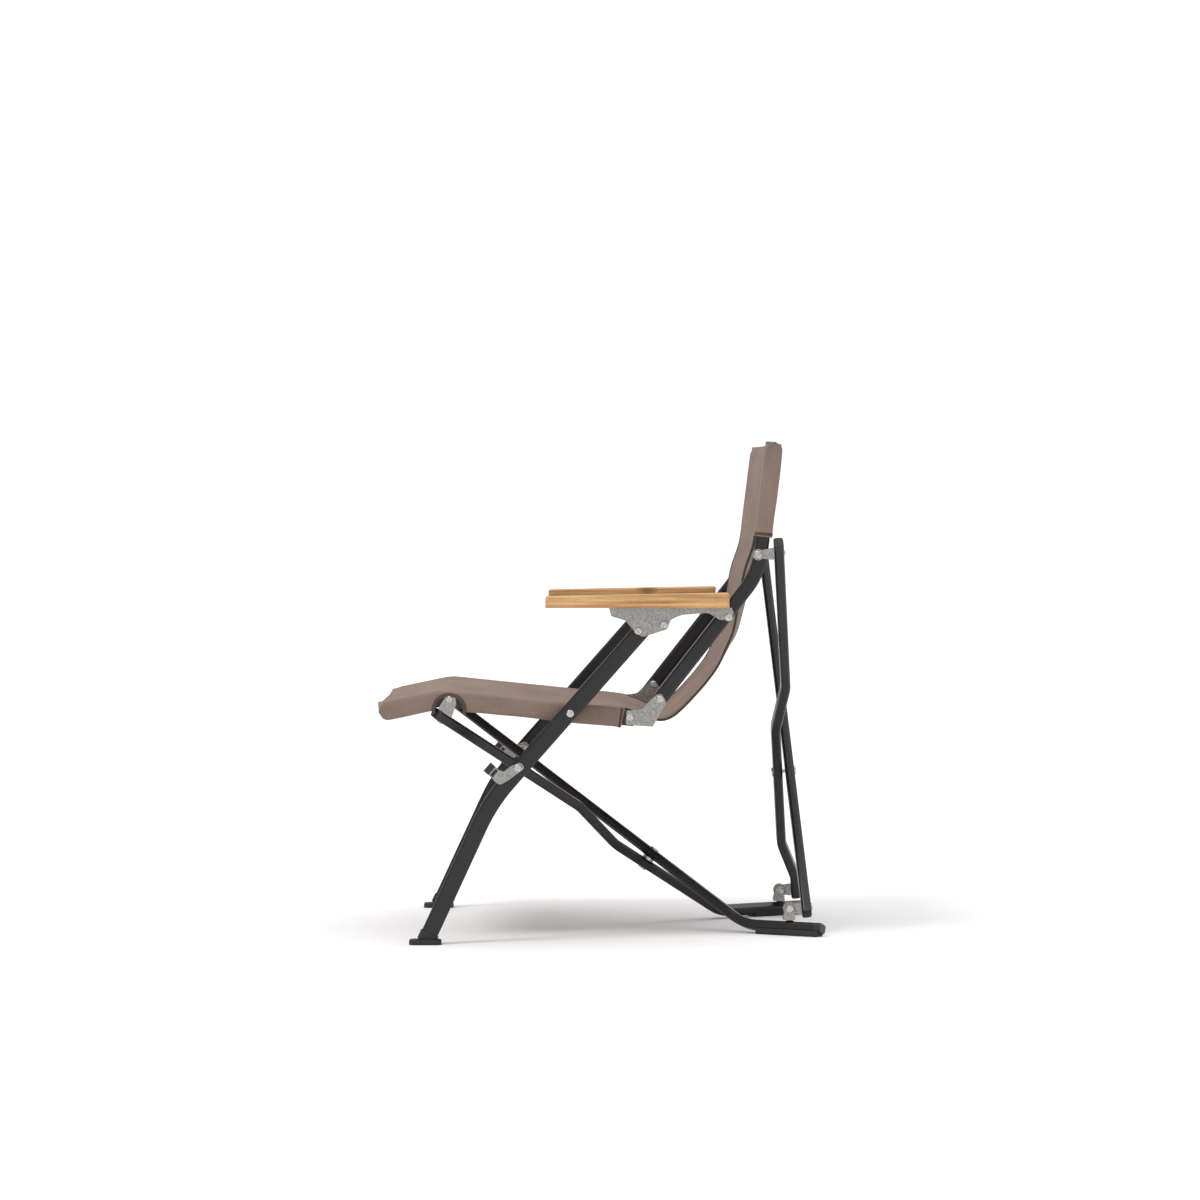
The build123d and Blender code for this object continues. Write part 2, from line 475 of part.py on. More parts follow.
# ---- rear foot clevis: stands on the foot part and holds the back tube's hinge ----------------
CLEVIS_LOW = 22.2
clevis_outline = rounded([(263.0, CLEVIS_LOW), (267.0, 45.5), (279.0, 45.5), (280.5, CLEVIS_LOW)],
                         [1.0, 6.0, 6.0, 1.0])
clevis_outline -= disc(FOOT_PIN, PIN_R + PIN_FIT)
clevis = pair(clevis_outline, FOOT_X, 9.0)
clevis += Pos(FOOT_X, 271.5, CLEVIS_LOW + PLATE / 2) * Box(20.0, 16.0, PLATE)
both_sides("foot_clevis", clevis)
both_sides("foot_rivet", rivet(SIDE, FOOT_PIN, FOOT_X - 11.0, FOOT_X + 11.0))

# ---- sling: one length of fabric, split here along the middle and at the seat's rear -----------
deck = RAIL_DEEP / 2 + SLEEVE_GAP + SKIN / 2
seat_line = [(-317.0, 331.0 + deck), (-231.0, 349.2 + deck), (24.0, 322.6 + deck), (76.0, 319.5)]
sleeve_end = (28.0, 321.96)


def sheet(points, radii, x0, x1):
    """A strip of fabric that follows a side-plane line from x0 to x1."""
    return bar(side_plane((x0 + x1) / 2), points, radii, x1 - x0, SKIN, corner=0.3)


def sleeve(points, radii, deep):
    """A fabric tube round a frame tube."""
    inner_wide, inner_deep = FRAME_WIDE + 2 * SLEEVE_GAP, deep + 2 * SLEEVE_GAP
    shell = bar(RAIL_PLANE, points, radii, inner_wide + 2 * SKIN, inner_deep + 2 * SKIN, corner=5.0)
    return shell - bar(RAIL_PLANE, points, radii, inner_wide, inner_deep, corner=4.0)


seat_sleeve = sleeve([(-316.0, 330.7), rail_path[1], sleeve_end], 70.0, RAIL_DEEP)
seat_sleeve -= slab(disc((RAIL_PIN[0] - 2.0, RAIL_PIN[1] - 15.0), 22.8), RAIL_X - 12.0, RAIL_X + 12.0)
seat_sleeve -= slab(disc(LEG_PIVOT, 9.0), RAIL_X + 4.0, RAIL_X + 12.0)
seat_panel = sheet(seat_line, [70.0, 30.0], 0.2, RAIL_X - 13.0)
seat_join = sheet([seat_line[0], seat_line[1], (24.0, 322.6 + deck)], 70.0, RAIL_X - 14.0, RAIL_X - 4.0)
both_sides("seat_sling", seat_sleeve + seat_panel + seat_join)

back_deck = POST_DEEP / 2 + SLEEVE_GAP + SKIN / 2
post_low_angle = 90.0 - POST_LEAN


def post_at(height):
    """A point of the upper back post's centre line."""
    return (post_high[0] - (post_high[1] - height) * tan(radians(POST_LEAN)), height)


def before(point):
    """The fabric's place in front of the upper post."""
    return polar(point, post_low_angle + 90.0, back_deck)


back_line = [(80.0, 319.0), (100.0, 321.0), (140.0, 357.0), (176.0, 415.0), before(post_at(575.0)),
             before(post_at(712.0))]
back_sleeve = sleeve([post_at(578.0), post_at(710.0)], 0, POST_DEEP)
back_panel = sheet(back_line, [25.0, 70.0, 90.0, 120.0], 0.2, RAIL_X - 13.0)
back_join = sheet([before(post_at(578.0)), before(post_at(712.0))], 0, RAIL_X - 14.0, RAIL_X - 4.0)
both_sides("back_sling", back_sleeve + back_panel + back_join)
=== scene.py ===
"""Looks for the folding camp chair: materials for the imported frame, and its canvas sling.

Metres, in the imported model's frame: +Z up, the sitter faces -Y, +X is the sitter's left.
The sling is one fabric that runs over the seat rails, hangs in a loop behind the seat and
covers the upper back posts. It is made in four quarters, each riding on its own side frame.
"""

import json
import math
from collections import namedtuple

import bmesh
import bpy
import numpy as np
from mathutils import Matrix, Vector

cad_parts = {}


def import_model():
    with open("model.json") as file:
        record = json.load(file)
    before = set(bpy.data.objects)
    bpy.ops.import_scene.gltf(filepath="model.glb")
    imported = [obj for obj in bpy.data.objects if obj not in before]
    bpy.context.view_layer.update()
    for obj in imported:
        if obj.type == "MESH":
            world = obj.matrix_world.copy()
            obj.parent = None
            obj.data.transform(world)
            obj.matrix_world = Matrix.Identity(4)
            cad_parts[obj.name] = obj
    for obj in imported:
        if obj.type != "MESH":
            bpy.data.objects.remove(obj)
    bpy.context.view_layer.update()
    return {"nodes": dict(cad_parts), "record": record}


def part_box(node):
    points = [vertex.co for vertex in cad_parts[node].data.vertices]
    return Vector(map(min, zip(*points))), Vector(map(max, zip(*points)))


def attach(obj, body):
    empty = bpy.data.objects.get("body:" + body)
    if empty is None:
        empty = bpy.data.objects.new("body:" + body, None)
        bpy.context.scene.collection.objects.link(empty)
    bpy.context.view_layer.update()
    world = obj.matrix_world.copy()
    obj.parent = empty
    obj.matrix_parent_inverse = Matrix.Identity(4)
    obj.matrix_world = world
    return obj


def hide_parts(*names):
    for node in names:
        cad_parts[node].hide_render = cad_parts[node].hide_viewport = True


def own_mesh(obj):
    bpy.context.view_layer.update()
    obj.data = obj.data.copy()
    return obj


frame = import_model()

# ---- the side profile the fabric follows, as (y, z) ------------------------------------------
RAIL_X = 0.250                   # middle of a seat rail and a back post
CLOTH = 0.0014                   # fabric thickness
SIDE_HALF = 0.00925              # rail middle to the sleeve's side wall
SEAT_DEPTH = 0.0245              # sleeve's depth round a seat rail
BACK_DEPTH = 0.0230              # sleeve's depth round a back post
EDGE_X = RAIL_X - SIDE_HALF - 0.0005
SEAM_X = 0.2285                  # row of stitching that closes a sleeve
DECK = SEAT_DEPTH / 2

NOSE = (-0.3185, 0.3302)
RAIL_BEND = (-0.231, 0.3488)
RAIL_BEND_RADIUS = 0.080
RAIL_REAR = (0.028, 0.3220)
JOIN_Y = 0.070                   # where the seat quarters meet the back quarters
LOOP = [(0.055, 0.3262), (0.070, 0.3198), (0.0855, 0.3176), (0.0995, 0.3222), (0.1135, 0.3335),
        (0.1310, 0.3515), (0.1490, 0.3722), (0.1655, 0.3955), (0.1775, 0.4215), (0.1870, 0.4440),
        (0.1950, 0.4860), (0.2030, 0.5300)]
POST_TOP = (0.245, 0.711)
POST_LEAN = math.radians(7.1)
SLEEVE_LOW, SLEEVE_TOP = 0.578, 0.7145
STEP = 0.004                     # spacing of the fabric's rows along the profile


def offset(a, b, away):
    """Points a and b moved to the left of the way from a to b."""
    d = Vector((b[0] - a[0], b[1] - a[1])).normalized()
    n = Vector((-d.y, d.x)) * away
    return (a[0] + n.x, a[1] + n.y), (b[0] + n.x, b[1] + n.y)


def arc_corner(a, b, c, radius, count=9):
    """Points of the arc that rounds corner b between a and c."""
    a, b, c = Vector(a), Vector(b), Vector(c)
    u, v = (a - b).normalized(), (c - b).normalized()
    half = u.angle(v) / 2
    back = radius / math.tan(half)
    centre = b + (u + v).normalized() * (radius / math.sin(half))
    start, end = b + u * back, b + v * back
    points = []
    for i in range(count):
        t = i / (count - 1)
        p = start.lerp(end, t) - centre
        points.append(tuple(centre + p.normalized() * radius))
    return points


def post_point(z, away):
    """A point beside a back post's centre line at a height, away towards the sitter."""
    y = POST_TOP[0] - (POST_TOP[1] - z) * math.tan(POST_LEAN)
    return (y - away * math.cos(POST_LEAN), z + away * math.sin(POST_LEAN))


def spline(points, step):
    """A smooth line through the points, with even steps along it."""
    p = np.array([points[0]] + list(points) + [points[-1]], float)
    p[0] = 2 * p[1] - p[2]
    p[-1] = 2 * p[-2] - p[-3]
    dense = []
    for i in range(1, len(p) - 2):
        gap = np.linalg.norm(p[i + 1] - p[i])
        before, after = np.linalg.norm(p[i] - p[i - 1]), np.linalg.norm(p[i + 2] - p[i + 1])
        m0 = (p[i + 1] - p[i - 1]) / (gap + before) * gap
        m1 = (p[i + 2] - p[i]) / (gap + after) * gap
        for t in np.linspace(0, 1, 24, endpoint=False):
            dense.append((2 * t**3 - 3 * t**2 + 1) * p[i] + (t**3 - 2 * t**2 + t) * m0
                         + (-2 * t**3 + 3 * t**2) * p[i + 1] + (t**3 - t**2) * m1)
    dense = np.array(dense + [p[-2]])
    far = np.concatenate([[0], np.cumsum(np.linalg.norm(np.diff(dense, axis=0), axis=1))])
    s = np.linspace(0, far[-1], int(round(far[-1] / step)) + 1)
    return s, np.stack([np.interp(s, far, dense[:, k]) for k in (0, 1)], axis=1)


front = offset(NOSE, RAIL_BEND, DECK)
rear = offset(RAIL_BEND, RAIL_REAR, DECK)
corner = ((front[1][0] + rear[0][0]) / 2, (front[1][1] + rear[0][1]) / 2 + 0.0001)
over_bend = arc_corner(front[0], corner, rear[1], RAIL_BEND_RADIUS, 5)
(y0, z0), (y1, z1) = over_bend[-1], rear[1]
straight = [(y0 + (y1 - y0) * t, z0 + (z1 - z0) * t) for t in (0.25, 0.5, 0.75)]
back_points = [post_point(z, BACK_DEPTH / 2) for z in (0.568, 0.60, 0.64, 0.68, SLEEVE_TOP)]
S, PROFILE = spline([front[0], *over_bend, *straight, rear[1], *LOOP, *back_points], STEP)
TANGENT = np.gradient(PROFILE, S, axis=0)
TANGENT /= np.linalg.norm(TANGENT, axis=1)[:, None]
NORMAL = np.stack([-TANGENT[:, 1], TANGENT[:, 0]], axis=1)

# Rows of the profile: where the quarters join, and where the seat and back sleeves end.
JOIN = int(np.argmax(PROFILE[:, 0] > JOIN_Y))
DECK_END = int(np.argmax(PROFILE[:, 0] > RAIL_REAR[0]))
BACK_START = int(np.argmax(PROFILE[:, 1] > SLEEVE_LOW))


def sag(s):
    """How far the middle of the fabric hangs behind its edges, along the profile."""
    seat = math.sin(math.pi * min(max((s + 0.04) / 0.50, 0), 1)) * 0.016
    top = S[-1]
    back = math.sin(math.pi * min(max((s - S[JOIN] - 0.06) / (top - S[JOIN] + 0.04), 0), 1)) * 0.021
    return max(seat, back, 0.003)


def ripple(x, s):
    """The slack weave's own unevenness."""
    slow = math.sin(38 * s + 9 * x + 0.7) * math.sin(21 * x - 11 * s + 1.9)
    quick = math.sin(95 * s - 40 * x) * math.sin(70 * x + 33 * s + 0.4)
    return 0.0007 * slow + 0.00025 * quick


# A quarter's rows and its sleeve's rows, the sleeve's depth, the profile length at its closed
# end, and how far it hangs below the tube.
Quarter = namedtuple("Quarter", "first last sleeve_first sleeve_last depth end hang")
SEAT = Quarter(0, JOIN, 0, DECK_END, SEAT_DEPTH, S[0], 0.0016)
BACK = Quarter(JOIN, len(S) - 1, BACK_START, len(S) - 1, BACK_DEPTH, S[-1], 0.0008)

# The fabric's columns from the chair's middle to the tube, and the one at the sleeve's seam.
DECK_X = [*np.linspace(0, 0.222, 44), *np.linspace(0.2235, EDGE_X, 15)]
SEAM_COLUMN = min(range(len(DECK_X)), key=lambda j: abs(DECK_X[j] - SEAM_X))


def wrap_section(quarter):
    """A sleeve's cross section round its tube, from the deck's edge back to the seam, as (x, n)."""
    outer, inner, r = RAIL_X + SIDE_HALF, RAIL_X - SIDE_HALF, 0.0042
    low = -quarter.depth - quarter.hang
    wrap = [(x, 0.0) for x in np.linspace(EDGE_X + 0.002, outer - r, 5)]
    wrap += [(outer - r + r * math.sin(a), -r + r * math.cos(a)) for a in np.linspace(0.35, 1.2, 3)]
    wrap += [(outer, n) for n in np.linspace(-r, low + r, 12)]
    wrap += [(outer - r + r * math.cos(a), low + r - r * math.sin(a)) for a in np.linspace(0.35, 1.2, 3)]
    wrap += [(x, low) for x in np.linspace(outer - r, inner + r, 6)]
    wrap += [(inner + r - r * math.sin(a), low + r - r * math.cos(a)) for a in np.linspace(0.35, 1.2, 3)]
    wrap += [(inner - 0.0004, n) for n in np.linspace(low + r, -0.0045, 8)]
    wrap += [(inner - 0.0024, -0.0024), (inner - 0.006, -0.0019), (SEAM_X, -0.0018), (0.2235, -0.0018)]
    return wrap


def wrap_girth(wrap):
    """How far each point of a sleeve's section lies from the chair's middle, along the cloth."""
    girth = [DECK_X[-1]]
    for a, b in zip([(DECK_X[-1], 0.0), *wrap], wrap):
        girth.append(girth[-1] + math.dist(a, b))
    return girth[1:]


def flat_size(quarter):
    """A quarter's width and length laid flat, and its area: only part of its length has a sleeve."""
    width = wrap_girth(wrap_section(quarter))[-1]
    length = S[quarter.last] - S[quarter.first]
    sleeve = S[quarter.sleeve_last] - S[quarter.sleeve_first]
    return (width, length), DECK_X[-1] * length + (width - DECK_X[-1]) * sleeve


def deck_shape(x, s):
    """The deck's place along the normal at x."""
    across = min(x / 0.236, 1.0)
    dip = sag(s) * (1 - across**2) ** 1.25
    seam = 0.0006 * math.exp(-((x - SEAM_X) / 0.0013) ** 2)
    slack = ripple(x, s) * (1 - across**6)
    return slack - dip - seam


def deck_point(side, i, x, lift):
    """A point of the deck at row i and x, lift above the cloth's middle."""
    y, z = PROFILE[i] + NORMAL[i] * (deck_shape(x, S[i]) + lift)
    return (side * x, y, z)


def closed_end(s, end, x):
    """How far a sleeve's end is drawn in, from 0 far away to 1 at the sewn end."""
    near = min(max(1 - abs(s - end) / 0.012, 0), 1)
    across = min(max((x - 0.226) / 0.016, 0), 1)
    return (1 - math.sqrt(max(1 - near**2, 0))) * across


def grid(bm, uv, rows, place, girth):
    """Faces between neighbouring rows and columns of points."""
    verts = [[bm.verts.new(place(i, j)) for j in range(len(girth))] for i in rows]
    for a, i in enumerate(rows[:-1]):
        for j in range(len(girth) - 1):
            face = bm.faces.new((verts[a][j], verts[a][j + 1], verts[a + 1][j + 1], verts[a + 1][j]))
            for loop, (da, dj) in zip(face.loops, ((0, 0), (0, 1), (1, 1), (1, 0))):
                loop[uv].uv = (girth[j + dj], S[i + da])


def smooth(mesh):
    for poly in mesh.polygons:
        poly.use_smooth = True


def new_object(name, bm, finish):
    """A smooth-shaded object from a finished bmesh."""
    mesh = bpy.data.meshes.new(name)
    bm.to_mesh(mesh)
    bm.free()
    obj = bpy.data.objects.new(name, mesh)
    bpy.context.scene.collection.objects.link(obj)
    mesh.materials.append(finish)
    smooth(mesh)
    return obj


def bake(obj):
    """Applies the object's modifiers to its mesh."""
    bpy.context.view_layer.update()
    result = bpy.data.meshes.new_from_object(obj.evaluated_get(bpy.context.evaluated_depsgraph_get()))
    obj.modifiers.clear()
    obj.data = result
    smooth(result)


def open_round(bm, centre, radius, x_low, x_high):
    """Takes the cloth out of a round opening, and draws its edge onto the circle."""
    def inside(v):
        return x_low < abs(v.co.x) < x_high and math.dist((v.co.y, v.co.z), centre) < radius

    taken = {v for v in bm.verts if inside(v)}
    rim = [v for v in taken if any(edge.other_vert(v) not in taken for edge in v.link_edges)]
    for v in rim:
        away = Vector((v.co.y - centre[0], v.co.z - centre[1])).normalized() * radius
        v.co.y, v.co.z = centre[0] + away.x, centre[1] + away.y
    lost = [face for face in bm.faces if all(v in taken for v in face.verts)]
    bmesh.ops.delete(bm, geom=lost, context="FACES")


def canvas_piece(name, side, quarter, sleeve, openings=()):
    """A quarter's sleeve, or else its panel, on one side (1 left, -1 right)."""
    wrap = wrap_section(quarter)
    over = len(DECK_X) - SEAM_COLUMN
    middle = -quarter.depth / 2
    bm = bmesh.new()
    uv = bm.loops.layers.uv.new("cloth")

    def world(i, x, n):
        n = n + (middle - n) * closed_end(S[i], quarter.end, x) * 0.94
        y, z = PROFILE[i] + NORMAL[i] * n
        return (side * x, y, z)

    def deck_place(i, j):
        return world(i, DECK_X[j], deck_shape(DECK_X[j], S[i]))

    def outer_place(i, j):
        return deck_place(i, SEAM_COLUMN + j)

    def sleeve_place(i, j):
        if j < over:
            return outer_place(i, j)
        x, n = wrap[j - over]
        if n < -0.003:
            loose = 0.0012 * math.sin(24 * S[i] + 1.1) * math.sin(math.pi * min(-n / quarter.depth, 1))
            x += loose * (1 if x > RAIL_X else -0.4)
            n += ripple(x, S[i]) * 0.8
        return world(i, x, n)

    outer = DECK_X[SEAM_COLUMN:]
    if sleeve:
        rows = range(quarter.sleeve_first, quarter.sleeve_last + 1)
        grid(bm, uv, rows, sleeve_place, outer + wrap_girth(wrap))
    else:
        grid(bm, uv, range(quarter.first, quarter.last + 1), deck_place, DECK_X[:SEAM_COLUMN + 1])
        if quarter.sleeve_last < quarter.last:
            free = range(quarter.sleeve_last, quarter.last + 1)
        else:
            free = range(quarter.first, quarter.sleeve_first + 1)
        grid(bm, uv, free, outer_place, outer)
    bmesh.ops.remove_doubles(bm, verts=bm.verts, dist=1e-6)
    for opening in openings:
        open_round(bm, *opening)
    if side < 0:
        bmesh.ops.reverse_faces(bm, faces=bm.faces)
    obj = new_object(name, bm, CANVAS)
    thick = obj.modifiers.new("thickness", "SOLIDIFY")
    thick.thickness = CLOTH
    thick.offset = 0.0
    bake(obj)
    return obj


# ---- materials --------------------------------------------------------------------------------
def material(name):
    mat = bpy.data.materials.new(name)
    mat.use_nodes = True
    tree = mat.node_tree
    shader = tree.nodes["Principled BSDF"]
    return mat, tree, shader


def node(tree, kind, inputs=None, **props):
    """A new shader node, with its inputs linked to sockets or set to values."""
    made = tree.nodes.new(kind)
    for key, value in props.items():
        setattr(made, key, value)
    for key, value in (inputs or {}).items():
        if isinstance(value, bpy.types.NodeSocket):
            tree.links.new(value, made.inputs[key])
        else:
            made.inputs[key].default_value = value
    return made


def ramp(tree, source, stops):
    """Colours at places along a source that runs from 0 to 1."""
    made = node(tree, "ShaderNodeValToRGB", {"Fac": source})
    elements = made.color_ramp.elements
    while len(elements) < len(stops):
        elements.new(0.5)
    for element, (place, colour) in zip(elements, stops):
        element.position = place
        element.color = (*colour, 1)
    return made.outputs["Color"]


def bump(tree, height, strength, distance, normal=None):
    inputs = {"Height": height, "Strength": strength, "Distance": distance}
    if normal:
        inputs["Normal"] = normal
    return node(tree, "ShaderNodeBump", inputs).outputs["Normal"]


def mixed(tree, amount, a, b, blend="MIX"):
    made = tree.nodes.new("ShaderNodeMix")
    made.data_type = "RGBA"
    made.blend_type = blend
    for socket, value in ((made.inputs[0], amount), (made.inputs[6], a), (made.inputs[7], b)):
        if isinstance(value, bpy.types.NodeSocket):
            tree.links.new(value, socket)
        else:
            socket.default_value = value if isinstance(value, float) else (*value, 1)
    return made.outputs[2]


def maths(tree, operation, a, b=0.0):
    return node(tree, "ShaderNodeMath", {0: a, 1: b}, operation=operation).outputs[0]


def noise(tree, vector, scale, detail=3.0, rough=0.5):
    inputs = {"Vector": vector, "Scale": scale, "Detail": detail, "Roughness": rough}
    return node(tree, "ShaderNodeTexNoise", inputs).outputs["Fac"]


def stretched(tree, vector, scale):
    return node(tree, "ShaderNodeMapping", {"Vector": vector, "Scale": scale}).outputs["Vector"]


WEAVE_PITCH = 0.0018             # two threads


def fabric(name, dark, light, sheen=0.18):
    """Woven canvas: threads both ways, slubs, and a soft uneven dye."""
    mat, tree, shader = material(name)
    cloth = node(tree, "ShaderNodeUVMap", uv_map="cloth").outputs["UV"]
    bits = node(tree, "ShaderNodeSeparateXYZ", {"Vector": cloth})
    place = node(tree, "ShaderNodeTexCoord").outputs["Object"]

    def threads(axis):
        turn = maths(tree, "MULTIPLY", bits.outputs[axis], math.tau / WEAVE_PITCH)
        return maths(tree, "ABSOLUTE", maths(tree, "SINE", turn))

    weave = maths(tree, "MULTIPLY", threads("X"), threads("Y"))
    slub_x = noise(tree, stretched(tree, cloth, (900, 30, 1)), 1.0, 2.0)
    slub_y = noise(tree, stretched(tree, cloth, (30, 900, 1)), 1.0, 2.0)
    slubs = maths(tree, "ADD", slub_x, slub_y)
    dye = noise(tree, place, 14.0, 4.0, 0.6)
    base = ramp(tree, dye, ((0.30, dark), (0.70, light)))
    flecks = ramp(tree, slubs, ((0.80, (0.80, 0.80, 0.80)), (1.20, (1.0, 1.0, 1.0))))
    base = mixed(tree, 0.55, base, flecks, "MULTIPLY")
    shade = ramp(tree, weave, ((0.0, (0.82, 0.81, 0.80)), (0.6, (1.0, 1.0, 1.0))))
    base = mixed(tree, 0.6, base, shade, "MULTIPLY")
    tree.links.new(base, shader.inputs["Base Color"])
    first = bump(tree, weave, 0.45, 0.0004)
    tree.links.new(bump(tree, slubs, 0.25, 0.0004, first), shader.inputs["Normal"])
    shader.inputs["Roughness"].default_value = 0.92
    shader.inputs["Specular IOR Level"].default_value = 0.2
    shader.inputs["Sheen Weight"].default_value = sheen
    shader.inputs["Sheen Roughness"].default_value = 0.5
    shader.inputs["Sheen Tint"].default_value = (0.9, 0.82, 0.78, 1)
    return mat


def black_coat():
    """Fine-textured matt black coat, with a little rub along the tubes."""
    mat, tree, shader = material("black_coat")
    place = node(tree, "ShaderNodeTexCoord").outputs["Object"]
    patch = noise(tree, place, 9.0, 5.0, 0.6)
    tree.links.new(ramp(tree, patch, ((0.35, (0.005, 0.005, 0.0055)), (0.75, (0.011, 0.011, 0.012)))),
                   shader.inputs["Base Color"])
    grain = noise(tree, place, 1400.0, 2.0)
    tree.links.new(bump(tree, grain, 0.18, 0.00012), shader.inputs["Normal"])
    worn = ramp(tree, patch, ((0.3, (0.24, 0.24, 0.24)), (0.8, (0.34, 0.34, 0.34))))
    tree.links.new(worn, shader.inputs["Roughness"])
    shader.inputs["Specular IOR Level"].default_value = 0.48
    return mat


def steel(name, colour, rough):
    """Tumbled stainless: satin, with a fine speckle in its colour and gloss."""
    mat, tree, shader = material(name)
    place = node(tree, "ShaderNodeTexCoord").outputs["Object"]
    speckle = noise(tree, place, 420.0, 4.0, 0.75)
    low, high = tuple(c * 0.55 for c in colour), tuple(min(c * 1.55, 1) for c in colour)
    tree.links.new(ramp(tree, speckle, ((0.3, low), (0.7, high))), shader.inputs["Base Color"])
    fine = noise(tree, place, 1100.0, 3.0)
    tree.links.new(bump(tree, fine, 0.25, 0.0001), shader.inputs["Normal"])
    tone = ramp(tree, speckle, ((0.3, (rough - 0.07,) * 3), (0.7, (rough + 0.09,) * 3)))
    tree.links.new(tone, shader.inputs["Roughness"])
    shader.inputs["Metallic"].default_value = 1.0
    return mat


def wood(name, side):
    """Oiled light hardwood with its grain along the armrest; the right one has a dark knot."""
    mat, tree, shader = material(name)
    place = node(tree, "ShaderNodeTexCoord").outputs["Object"]
    drift = noise(tree, stretched(tree, place, (14, 3, 14)), 1.0, 3.0)
    bent = node(tree, "ShaderNodeVectorMath", {0: place, 1: (side * 0.4, 0.3, 0.1)}, operation="ADD")
    rings = noise(tree, stretched(tree, bent.outputs[0], (160, 5.5, 190)), 1.0, 5.0, 0.62)
    pores = noise(tree, stretched(tree, bent.outputs[0], (1500, 55, 1500)), 1.0, 2.0)
    base = ramp(tree, rings, ((0.30, (0.300, 0.140, 0.046)), (0.47, (0.60, 0.330, 0.130)),
                              (0.66, (0.80, 0.510, 0.245))))
    tone = ramp(tree, drift, ((0.3, (0.86, 0.82, 0.76)), (0.7, (1.0, 1.0, 1.0))))
    base = mixed(tree, 0.8, base, tone, "MULTIPLY")
    dots = ramp(tree, pores, ((0.30, (0.62, 0.52, 0.42)), (0.42, (1.0, 1.0, 1.0))))
    base = mixed(tree, 0.7, base, dots, "MULTIPLY")
    if side < 0:
        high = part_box("right_armrest")[1]
        knot = (high.x - 0.004, 0.073, high.z - 0.003)
        away = node(tree, "ShaderNodeVectorMath", {0: place, 1: knot}, operation="SUBTRACT")
        wide = stretched(tree, away.outputs[0], (110, 48, 60))
        far = node(tree, "ShaderNodeVectorMath", {0: wide}, operation="LENGTH").outputs["Value"]
        spot = ramp(tree, far, ((0.25, (0.16, 0.09, 0.05)), (0.55, (0.45, 0.33, 0.24)),
                                (1.0, (1.0, 1.0, 1.0))))
        base = mixed(tree, 0.85, base, spot, "MULTIPLY")
    tree.links.new(base, shader.inputs["Base Color"])
    first = bump(tree, rings, 0.12, 0.0005)
    tree.links.new(bump(tree, pores, 0.25, 0.0002, first), shader.inputs["Normal"])
    shader.inputs["Roughness"].default_value = 0.48
    return mat


def plastic(name, colour, rough, grain_size):
    """Moulded black plastic or rubber with a spark-eroded grain."""
    mat, tree, shader = material(name)
    place = node(tree, "ShaderNodeTexCoord").outputs["Object"]
    tint = noise(tree, place, 60.0, 3.0)
    tree.links.new(ramp(tree, tint, ((0.3, colour), (0.7, tuple(c * 1.5 for c in colour)))),
                   shader.inputs["Base Color"])
    grain = noise(tree, place, grain_size, 2.0)
    tree.links.new(bump(tree, grain, 0.3, 0.00015), shader.inputs["Normal"])
    shader.inputs["Roughness"].default_value = rough
    return mat


CANVAS = fabric("canvas", (0.222, 0.156, 0.128), (0.288, 0.207, 0.172))
BINDING = fabric("binding", (0.075, 0.052, 0.038), (0.105, 0.075, 0.056), 0.1)
THREAD = fabric("thread", (0.34, 0.26, 0.225), (0.40, 0.31, 0.27), 0.2)
FINISH = {
    "black_frame": black_coat(),
    "steel_fitting": steel("fitting_steel", (0.33, 0.325, 0.315), 0.38),
    "rivet_steel": steel("rivet_steel", (0.50, 0.49, 0.475), 0.24),
    "black_nylon": plastic("black_nylon", (0.012, 0.012, 0.013), 0.42, 900.0),
    "foot_rubber": plastic("foot_rubber", (0.016, 0.016, 0.016), 0.72, 500.0),
}
WOODS = {1: wood("left_wood", 1), -1: wood("right_wood", -1)}
SLOT_OF = {row["node"]: row["material_slot"] for row in frame["record"]["subparts"]}


def soften(obj, width):
    """Breaks a fitting's sharp edges, as tumbling does."""
    weld = obj.modifiers.new("weld", "WELD")
    weld.merge_threshold = 0.00002
    bevel = obj.modifiers.new("edge", "BEVEL")
    bevel.width = width
    bevel.segments = 2
    bevel.limit_method = "ANGLE"
    bevel.angle_limit = math.radians(38)
    bevel.harden_normals = True


for name, obj in frame["nodes"].items():
    kind = SLOT_OF[name]
    if kind == "sling_fabric":
        continue
    finish = WOODS[1 if name.startswith("left") else -1] if kind == "armrest_wood" else FINISH[kind]
    obj.data.materials.clear()
    obj.data.materials.append(finish)
    if kind == "steel_fitting":
        soften(obj, 0.00035)


# ---- fine sewing ------------------------------------------------------------------------------
STITCH_PITCH, STITCH_LENGTH, STITCH_RADIUS = 0.0040, 0.0030, 0.00042
# A stitch's rings: place along it, thickness and height above the cloth, as shares of its own size.
STITCH_RINGS = ((-0.5, 0.35, -0.3), (-0.3, 1.0, 0.35), (0.3, 1.0, 0.35), (0.5, 0.35, -0.3))


